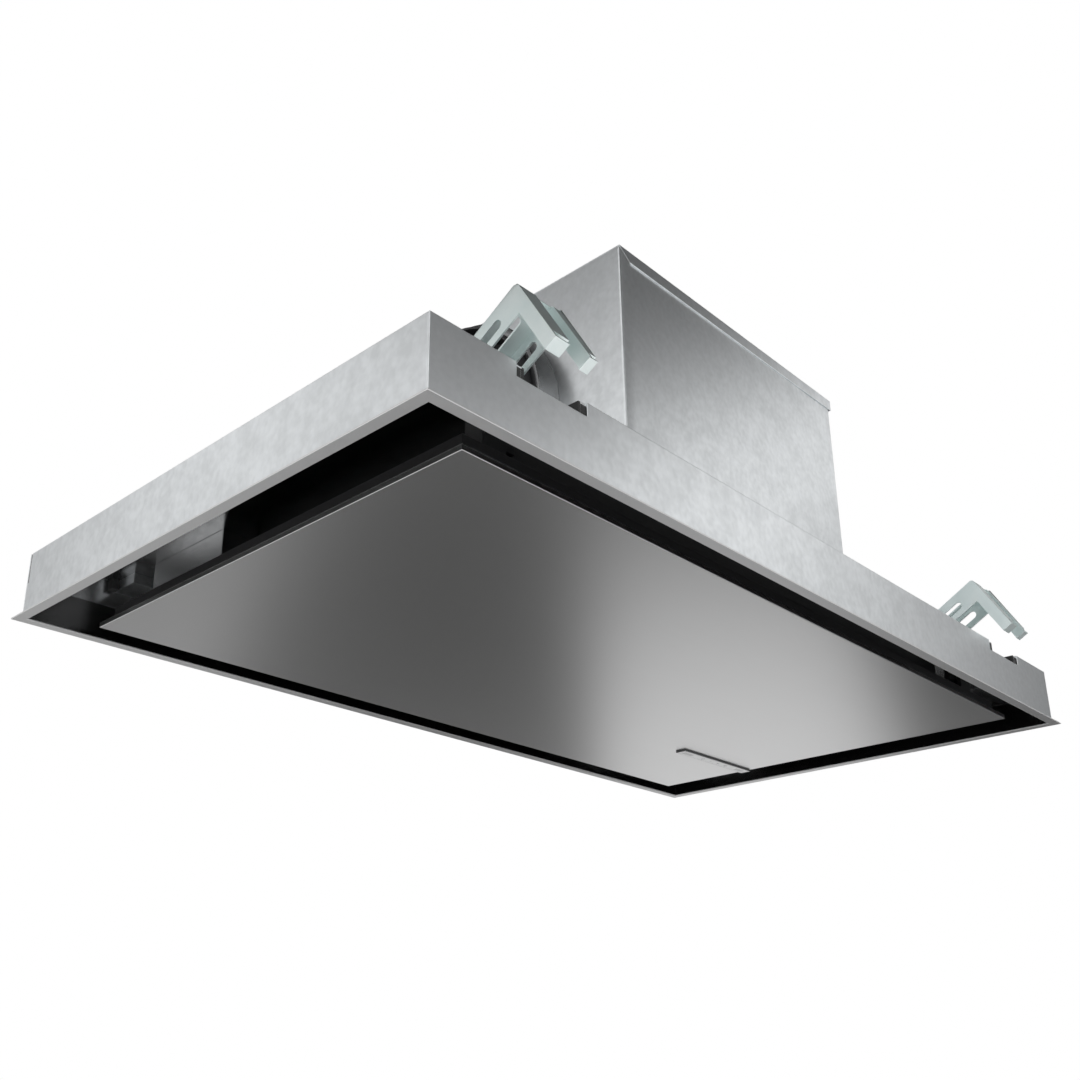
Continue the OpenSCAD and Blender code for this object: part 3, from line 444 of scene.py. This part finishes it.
# Duct outlet: a grey ring with rounded lips and the black adaptor inside it, in mm from the duct wall
outlet = {"wall": 2.2, "edge": 0.9, "segments": 160,
          "ringOuter": 102, "ringInner": 94.05, "lipOuter": 94, "cupFloor": 2,
          "neckOuter": 74.5, "neckDepth": 1.2, "spigotOuter": 75, "setBack": 2,
          "beadHeight": 1.6, "beadFromEnd": 9, "beadWidth": 5.5, "beadRamp": 1.5}
ringLow, ringHigh = corners("outlet_ring")
wallX = ringHigh[0]
ringEnd = ringHigh[0] - ringLow[0]
ductCentre = (wallX, 0, (ringLow[2] + ringHigh[2]) / 2)
wall, ringOuter, ringInner = outlet["wall"], outlet["ringOuter"], outlet["ringInner"]
ringProfile = [(ringInner, 0), (ringOuter, 0), (ringOuter, ringEnd), (ringInner, ringEnd),
               (ringInner, ringEnd - wall), (ringOuter - wall, ringEnd - wall),
               (ringOuter - wall, wall), (ringInner, wall)]
ringShape = turned(rounded(ringProfile, outlet["edge"]), ductCentre, (-1, 0, 0), outlet["segments"])
addPiece("outletRing", ringShape, finishes["grey_plastic"], "outlet_ring")

lipEnd = wallX - corners("duct_adaptor")[0][0]
spigotEnd = lipEnd - outlet["setBack"]
spigot, lip, neck = outlet["spigotOuter"], outlet["lipOuter"], outlet["neckOuter"]
cupFloor = outlet["cupFloor"]
bead, ramp = spigot + outlet["beadHeight"], outlet["beadRamp"]
beadStart = spigotEnd - outlet["beadFromEnd"]
beadEnd = beadStart + outlet["beadWidth"]
adaptorProfile = [
    (spigot - wall, -outlet["neckDepth"]), (neck, -outlet["neckDepth"]), (neck, cupFloor), (lip, cupFloor),
    (lip, lipEnd), (lip - wall, lipEnd), (lip - wall, cupFloor + wall), (spigot, cupFloor + wall),
    (spigot, beadStart), (bead, beadStart + ramp), (bead, beadEnd - ramp), (spigot, beadEnd),
    (spigot, spigotEnd), (spigot - wall, spigotEnd)]
adaptorShape = turned(rounded(adaptorProfile, outlet["edge"]), ductCentre, (-1, 0, 0), outlet["segments"])
addPiece("ductAdaptor", adaptorShape, finishes["black_plastic"], "duct_adaptor")
print("duct outlet made")

# Impeller: curved blades between two rings, a disc and a hub; sweep in degrees
drum = {"blades": 40, "inner": 64, "outer": 75.6, "sweep": 8.16, "thick": 1, "half": 80, "bladeGap": 1,
        "ringInner": 71, "ringOuter": 76, "ringThick": 2.5, "ringEdge": 0.5,
        "bore": 4, "hub": 11, "hubFrom": -23, "hubTo": 7, "discFrom": -8, "discTo": -5.5, "discEdge": 0.6}
drumLow, drumHigh = corners("impeller")
spinCentre = (drumLow + drumHigh) / 2
# A blade's bearing grows as sweep * (1 - (1 - s)^2) while its radius runs from inner to outer
along = np.linspace(0, 1, 7)
bladeAngle = np.radians(drum["sweep"]) * (1 - (1 - along) ** 2)
bladeRadius = drum["inner"] + (drum["outer"] - drum["inner"]) * along
offset = np.concatenate([bladeAngle, bladeAngle[::-1] + drum["thick"] / bladeRadius[::-1]])
radii = np.concatenate([bladeRadius, bladeRadius[::-1]])
turns = np.arange(drum["blades"]) * 2 * np.pi / drum["blades"]
theta = turns[:, None] + offset[None]
section = np.stack([radii * np.cos(theta), np.zeros_like(theta), radii * np.sin(theta)], -1)
bladeHalf = drum["half"] - drum["bladeGap"]
ends = np.array([-bladeHalf, bladeHalf], float)
blades = section[:, None] + np.stack([np.zeros(2), ends, np.zeros(2)], -1)[None, :, None]
last = len(offset) - 1
caps = np.array([[i, i + 1, last - 1 - i, last - i] for i in range(last // 2)])
bladeFaces = np.concatenate([gridFaces(2, len(offset)), caps, caps + len(offset)])
drumParts = [((b + spinCentre) * mm, bladeFaces) for b in blades]
for side in (-1, 1):
    outerEnd, innerEnd = side * drum["half"], side * (drum["half"] - drum["ringThick"])
    endRing = [(drum["ringInner"], outerEnd), (drum["ringOuter"], outerEnd),
               (drum["ringOuter"], innerEnd), (drum["ringInner"], innerEnd)]
    drumParts.append(turned(rounded(endRing, drum["ringEdge"]), spinCentre, (0, -1, 0)))
bore, hub, rim = drum["bore"], drum["hub"], drum["ringOuter"]
discProfile = [(bore, drum["hubFrom"]), (hub, drum["hubFrom"]), (hub, drum["discFrom"]),
               (rim, drum["discFrom"]), (rim, drum["discTo"]), (hub, drum["discTo"]),
               (hub, drum["hubTo"]), (bore, drum["hubTo"])]
drumParts.append(turned(rounded(discProfile, drum["discEdge"]), spinCentre, (0, -1, 0)))
addPiece("impellerDrum", joined(drumParts), finishes["black_plastic"], "impeller")
print("impeller made")

# Grease filter mesh: layers of slanted strands inside the frame, one above the other
grid = {"pitch": 7.5, "strand": 1.1, "layers": 3, "inset": 0.4, "firstLayer": 0.6, "layerStep": 0.9}


# Strands along one diagonal, cut to the rectangle: each is a bar between its two crossings of the edge
def strands(low, high, slope, z):
    w, d = high - low
    shift = np.arange(-d + grid["pitch"] / 2, w, grid["pitch"])
    start = np.maximum(shift, 0)
    end = np.minimum(shift + d, w)
    y0, y1 = start - shift, end - shift
    x0, x1 = low[0] + start, low[0] + end
    if slope < 0:
        y0, y1 = d - y0, d - y1
    a = np.stack([x0, low[1] + y0, np.full_like(x0, z)], -1)
    b = np.stack([x1, low[1] + y1, np.full_like(x0, z)], -1)
    side = np.array([-slope, 1, 0]) / math.sqrt(2) * grid["strand"] / 2
    rise = np.array([0, 0, grid["strand"] / 2])
    around = np.stack([-side, -rise, side, rise])
    points = np.stack([a[:, None] + around, b[:, None] + around], 1) * mm
    faces = np.concatenate([gridFaces(2, 4), [[0, 1, 2, 3], [4, 5, 6, 7]]])
    return [(p, faces) for p in points]


for sideName in ("left", "right"):
    meshNode, meshName = f"filter_{sideName}_mesh", f"filterMesh_{sideName}"
    meshLow, meshHigh = corners(meshNode)
    layers = []
    for k in range(grid["layers"]):
        slope = 1 if k % 2 == 0 else -1
        z = meshLow[2] + grid["firstLayer"] + k * grid["layerStep"]
        layers += strands(meshLow[:2] + grid["inset"], meshHigh[:2] - grid["inset"], slope, z)
    addPiece(meshName, joined(layers), finishes["filter_aluminium"], meshNode)
print("filter meshes made")

# Motor: a body with chamfered ends, cooling grooves and a front boss
motor = {"radius": 46, "bore": 4.05, "boss": 11, "bossLength": 4, "frontChamfer": 4, "rearChamfer": 3,
         "grooves": 7, "grooveStep": 7.5, "firstGroove": 14, "grooveDepth": 2.5, "grooveWidth": 4,
         "edge": 0.8}
motorLow, motorHigh = corners("fan_motor")
motorCentre = (motorLow + motorHigh) / 2
motorCentre[1] = 0
front, rear, body = -motorHigh[1], -motorLow[1], motor["radius"]
bossEnd = front + motor["bossLength"]
motorProfile = [(motor["bore"], front), (motor["boss"], front), (motor["boss"], bossEnd),
                (body - motor["frontChamfer"], bossEnd), (body, bossEnd + motor["frontChamfer"])]
for k in range(motor["grooves"]):
    h = front + motor["firstGroove"] + k * motor["grooveStep"]
    groove = body - motor["grooveDepth"]
    motorProfile += [(body, h), (groove, h + 1), (groove, h + motor["grooveWidth"] - 1),
                     (body, h + motor["grooveWidth"])]
chamfer = motor["rearChamfer"]
motorProfile += [(body, rear - chamfer), (body - chamfer, rear), (motor["bore"], rear)]
motorShape = turned(rounded(motorProfile, motor["edge"]), motorCentre, (0, -1, 0))
addPiece("fanMotorBody", motorShape, finishes["motor_grey"], "fan_motor")
print("motor made")

# Screw heads: a dome with a six-lobed recess
head = {"radius": 3.5, "height": 2.2, "fall": 0.75, "recess": 1.4, "lobes": 6, "lobeDepth": 0.14,
        "recessDepth": 1.1, "rings": 15, "segments": 48, "sharp": 40}


# Height falls as a quarter ellipse from the middle to the rim; the recess is a steep dip with lobes
def domedHead(centre, axis):
    s = np.linspace(0, 1, head["rings"])
    t = np.linspace(0, 2 * np.pi, head["segments"], endpoint=False)
    axis = np.array(axis, float)
    u, v = acrossAxis(axis)
    r = s[:, None] * head["radius"] + 0 * t
    height = head["height"] * np.sqrt(np.clip(1 - head["fall"] * s**2, 0, 1))[:, None] + 0 * t
    recessRim = head["recess"] * (1 + head["lobeDepth"] * np.cos(head["lobes"] * t))[None]
    height = np.where(r < recessRim, height - head["recessDepth"], height)
    r, height = np.concatenate([r, r[-1:]]), np.concatenate([height, np.zeros((1, len(t)))])
    ring = np.cos(t)[None, :, None] * u + np.sin(t)[None, :, None] * v
    points = np.array(centre) + height[..., None] * axis + r[..., None] * ring
    return points * mm, gridFaces(len(r), len(t))


def screwSet(node, name, spots):
    addPiece(name, joined([domedHead(c, a) for c, a in spots]), finishes[slotOf[node]], node,
             limit=head["sharp"])


# Where the screws stand: the lid's lips and the rear cover, in mm
screws = {"lipFace": 170.5, "belowTop": 5.4, "reach": 150.5, "coverInset": 1.2, "coverX": (-150.25, 160.25),
          "coverLow": 75.2, "coverBelowTop": 30.8}
boxTop = corners("box_lid")[1][2]
lipFace, lipMiddle = screws["lipFace"], boxTop - screws["belowTop"]
spread = (-screws["reach"], 0, screws["reach"])
screwSet("lid_screws", "lidScrews", [((lipFace, s, lipMiddle), (1, 0, 0)) for s in spread]
         + [((s, lipFace, lipMiddle), (0, 1, 0)) for s in spread])
screwSet("cover_screws", "coverScrews", [
    ((x, lipFace - screws["coverInset"], z), (0, 1, 0))
    for x in screws["coverX"] for z in (screws["coverLow"], boxTop - screws["coverBelowTop"])])
print("screws made")

# Touch strip: cover plate, two pale windows and four plain symbols
touch = {"edge": 0.15, "windowLength": 17, "windowHalf": 2.6, "windowInset": 4, "windowDepth": 0.2,
         "symbolStep": 15, "symbolRadius": 1.7, "dotRadius": 0.55, "line": 0.45, "barHalf": 0.22,
         "switchBar": (0.4, 2.2), "symbolDepth": 0.1, "lift": 0.02, "barLift": 0.03}
coverLow, coverHigh = corners("control_cover")
coverFace = coverLow[2]
softened("control_cover", "controlCover", touch["edge"])
stripY = (coverLow[1] + coverHigh[1]) / 2
firstWindow = coverLow[0] + touch["windowInset"]
lastWindow = coverHigh[0] - touch["windowInset"] - touch["windowLength"]
windowShape = joined([
    block((x, stripY - touch["windowHalf"], coverFace - touch["lift"]),
          (x + touch["windowLength"], stripY + touch["windowHalf"], coverFace + touch["windowDepth"]))
    for x in (firstWindow, lastWindow)])
addPiece("touchWindows", windowShape, partFinishes["window"], "control_cover", replace=False)


# A flat ring or arc on the strip as quads between two radii, from one bearing to another in degrees
def symbolArc(x, radius, start, end, count=24):
    t = np.radians(np.linspace(start, end, count))
    rr = np.array([radius - touch["line"] / 2, radius + touch["line"] / 2])
    z = np.full((2, count), coverFace - touch["lift"])
    points = np.stack([x + rr[:, None] * np.cos(t), stripY + rr[:, None] * np.sin(t), z], -1)
    return points * mm, gridFaces(2, count, closeCols=False)


# A thin bar on the strip, placed from the symbol's middle
def symbolBar(x, xs, ys):
    return block((x + xs[0], stripY + ys[0], coverFace - touch["barLift"]),
                 (x + xs[1], stripY + ys[1], coverFace - touch["lift"] + touch["symbolDepth"]))


symbolX = (coverLow[0] + coverHigh[0]) / 2 + touch["symbolStep"] * (np.arange(4) - 1.5)
radius = touch["symbolRadius"]
long, thin = (-radius, radius), (-touch["barHalf"], touch["barHalf"])
symbolShape = joined([
    symbolArc(symbolX[0], radius, 120, 420),
    symbolBar(symbolX[0], thin, touch["switchBar"]),
    symbolBar(symbolX[1], long, thin),
    symbolBar(symbolX[2], long, thin),
    symbolBar(symbolX[2], thin, long),
    symbolArc(symbolX[3], radius, 0, 360),
    symbolArc(symbolX[3], touch["dotRadius"], 0, 360),
])
addPiece("touchSymbols", symbolShape, partFinishes["symbol"], "control_cover", replace=False)
print("touch strip made")

# Every CAD node that is still shown takes its finish from its slot
for name, obj in nodes.items():
    obj.data.materials.clear()
    obj.data.materials.append(finishes[slotOf[name]])
print("finishes assigned")

# Floor and world: white to the camera and in reflections, plain and pale to the rest
room = {"floorZ": -1.25, "floorSize": 160, "floorColour": (0.8, 0.8, 0.8), "floorRoughness": 0.9,
        "glow": 1.1, "glowShare": 0.8, "worldColour": (0.62, 0.63, 0.64)}


def seenDirectly(tree):
    path = tree.nodes.new("ShaderNodeLightPath")
    seen = path.outputs["Is Camera Ray"]
    for kind in ("Is Glossy Ray", "Is Transmission Ray"):
        either = tree.nodes.new("ShaderNodeMath")
        either.operation = "MAXIMUM"
        tree.links.new(seen, either.inputs[0])
        tree.links.new(path.outputs[kind], either.inputs[1])
        seen = either.outputs[0]
    return seen


# A flat card from its corners, with a new material whose nodes are set where it is used
def card(name, cardCorners, matName):
    cardMesh = bpy.data.meshes.new(name)
    cardMesh.from_pydata([tuple(c) for c in cardCorners], [], [tuple(range(len(cardCorners)))])
    obj = bpy.data.objects.new(name, cardMesh)
    bpy.context.scene.collection.objects.link(obj)
    mat = bpy.data.materials.new(matName)
    mat.use_nodes = True
    cardMesh.materials.append(mat)
    return obj, mat.node_tree


floorHalf = room["floorSize"] / 2
floor, tree = card("floor", [(x * floorHalf, y * floorHalf, room["floorZ"])
                             for x, y in ((-1, -1), (1, -1), (1, 1), (-1, 1))], "paleFloor")
plain = tree.nodes["Principled BSDF"]
plain.inputs["Base Color"].default_value = (*room["floorColour"], 1)
plain.inputs["Roughness"].default_value = room["floorRoughness"]
glow = tree.nodes.new("ShaderNodeEmission")
glow.inputs["Strength"].default_value = room["glow"]
share = tree.nodes.new("ShaderNodeMath")
share.operation = "MULTIPLY"
share.inputs[1].default_value = room["glowShare"]
mixed = tree.nodes.new("ShaderNodeMixShader")
tree.links.new(seenDirectly(tree), share.inputs[0])
tree.links.new(share.outputs[0], mixed.inputs["Fac"])
tree.links.new(plain.outputs[0], mixed.inputs[1])
tree.links.new(glow.outputs[0], mixed.inputs[2])
tree.links.new(mixed.outputs[0], tree.nodes["Material Output"].inputs["Surface"])

world = bpy.data.worlds.new("studio")
bpy.context.scene.world = world
world.use_nodes = True
tree = world.node_tree
ground = tree.nodes["Background"]
ground.inputs["Color"].default_value = (*room["worldColour"], 1)
white = tree.nodes.new("ShaderNodeBackground")
white.inputs["Color"].default_value = (1, 1, 1, 1)
mixed = tree.nodes.new("ShaderNodeMixShader")
tree.links.new(seenDirectly(tree), mixed.inputs["Fac"])
tree.links.new(ground.outputs[0], mixed.inputs[1])
tree.links.new(white.outputs[0], mixed.inputs[2])
tree.links.new(mixed.outputs[0], tree.nodes["World Output"].inputs["Surface"])
print("room made")

# Soft boxes: place, aim, size and power of each
softBoxes = {
    "keyLeft": {"at": (-2.6, -0.6, 0.9), "aim": (0, 0, 0.1), "size": (1.8, 1.8), "power": 26},
    "fillFront": {"at": (0.6, -2.8, 0.3), "aim": (0, 0, 0.1), "size": (2.2, 1.6), "power": 14},
    "lowRight": {"at": (1.6, -0.2, -1.1), "aim": (0.2, 0, 0), "size": (1.6, 1.6), "power": 12},
    "top": {"at": (0.3, 0.4, 2.4), "aim": (0, 0, 0.2), "size": (2.4, 2.4), "power": 22},
    "backRight": {"at": (2.4, 2.2, 0.8), "aim": (0, 0, 0.1), "size": (1.8, 1.8), "power": 16},
}
for name, light in softBoxes.items():
    data = bpy.data.lights.new(name, "AREA")
    data.shape = "RECTANGLE"
    data.size, data.size_y = light["size"]
    data.energy = light["power"]
    lamp = bpy.data.objects.new(name, data)
    bpy.context.scene.collection.objects.link(lamp)
    lamp.location = light["at"]
    x, y, z = np.array(light["aim"]) - np.array(light["at"])
    lamp.rotation_euler = (math.acos(-z / math.hypot(x, y, z)), 0, math.atan2(y, x) - math.pi / 2)
    lamp.visible_camera = False
    lamp.visible_glossy = False
print("lights made:", len(softBoxes))


# A piece of a flat ring at height z between two radii and two bearings from +X, in degrees
def sector(z, near, far, start, end, at=(0, 0)):
    t = np.radians(np.linspace(start, end, 25))
    outer = [(at[0] + far * math.cos(a), at[1] + far * math.sin(a), z) for a in t]
    inner = [(at[0] + near * math.cos(a), at[1] + near * math.sin(a), z) for a in t[::-1]]
    return outer + inner


# An upright rectangle between two corners that share their x or their y
def upright(a, b):
    return [a, (b[0], b[1], a[2]), b, (a[0], a[1], b[2])]


# Flags that only reflections see: grey cards round the set that give flat metal its gradients,
# each with its corners in metres and its level
flags = {
    "flagBelowBehind": (sector(-1.2, 0.5, 8, 39.5, 64), 0.07),
    "flagBelowLeft": (sector(-1.2, 0.5, 8, 65.2, 105), 0.35),
    "flagBelowRight": (sector(-1.2, 0.5, 8, -25, 22.5), 0.04),
    "flagBelowNear": (sector(-1.2, 0.5, 2.6, 22.7, 39.3), 0.2),
    "flagAbove": (sector(2.5, 0.01, 3.4, 0, 359.9, (0.3, -0.2)), 0.05),
    "flagAboveFront": (sector(2.45, 2.8, 4.7, -64, -42.5), 0.05),
    "flagAboveLeft": (sector(2.45, 2.4, 3.5, 136, 158), 0.1),
    "flagRight": (upright((4.5, -2.25, -0.4), (4.5, 0.6, 2.5)), 0.0),
    "flagRear": (upright((-1.2, 5, 0.1), (-2.5, 5, 3.2)), 0.0),
    "flagLeft": (upright((-3.55, 4.6, 2.2), (-5.6, 4.6, 4.4)), 0.66),
}
for name, (flagCorners, level) in flags.items():
    flag, tree = card(name, flagCorners, name + "Grey")
    grey = tree.nodes.new("ShaderNodeEmission")
    grey.inputs["Color"].default_value = (level, level, level, 1)
    tree.links.new(grey.outputs[0], tree.nodes["Material Output"].inputs["Surface"])
    flag.visible_camera = flag.visible_diffuse = flag.visible_shadow = flag.visible_transmission = False
print("flags made:", len(flags))

# Camera below the ceiling plane, looking up along the hood's diagonal
lens = {"at": (-0.8322, -0.6777, -0.3581), "yaw": 43.85, "pitch": 20.39, "focal": 40.37, "sensor": 36,
        "shift": (0.03, 0.09), "clip": (0.01, 300)}
cameraData = bpy.data.cameras.new("camera")
cameraData.lens = lens["focal"]
cameraData.sensor_width = lens["sensor"]
cameraData.shift_x, cameraData.shift_y = lens["shift"]
cameraData.clip_start, cameraData.clip_end = lens["clip"]
camera = bpy.data.objects.new("camera", cameraData)
bpy.context.scene.collection.objects.link(camera)
camera.location = lens["at"]
camera.rotation_euler = (math.radians(90 + lens["pitch"]), 0, math.radians(lens["yaw"] - 90))
bpy.context.scene.camera = camera
bpy.context.scene.view_settings.view_transform = "Standard"
print("camera set")
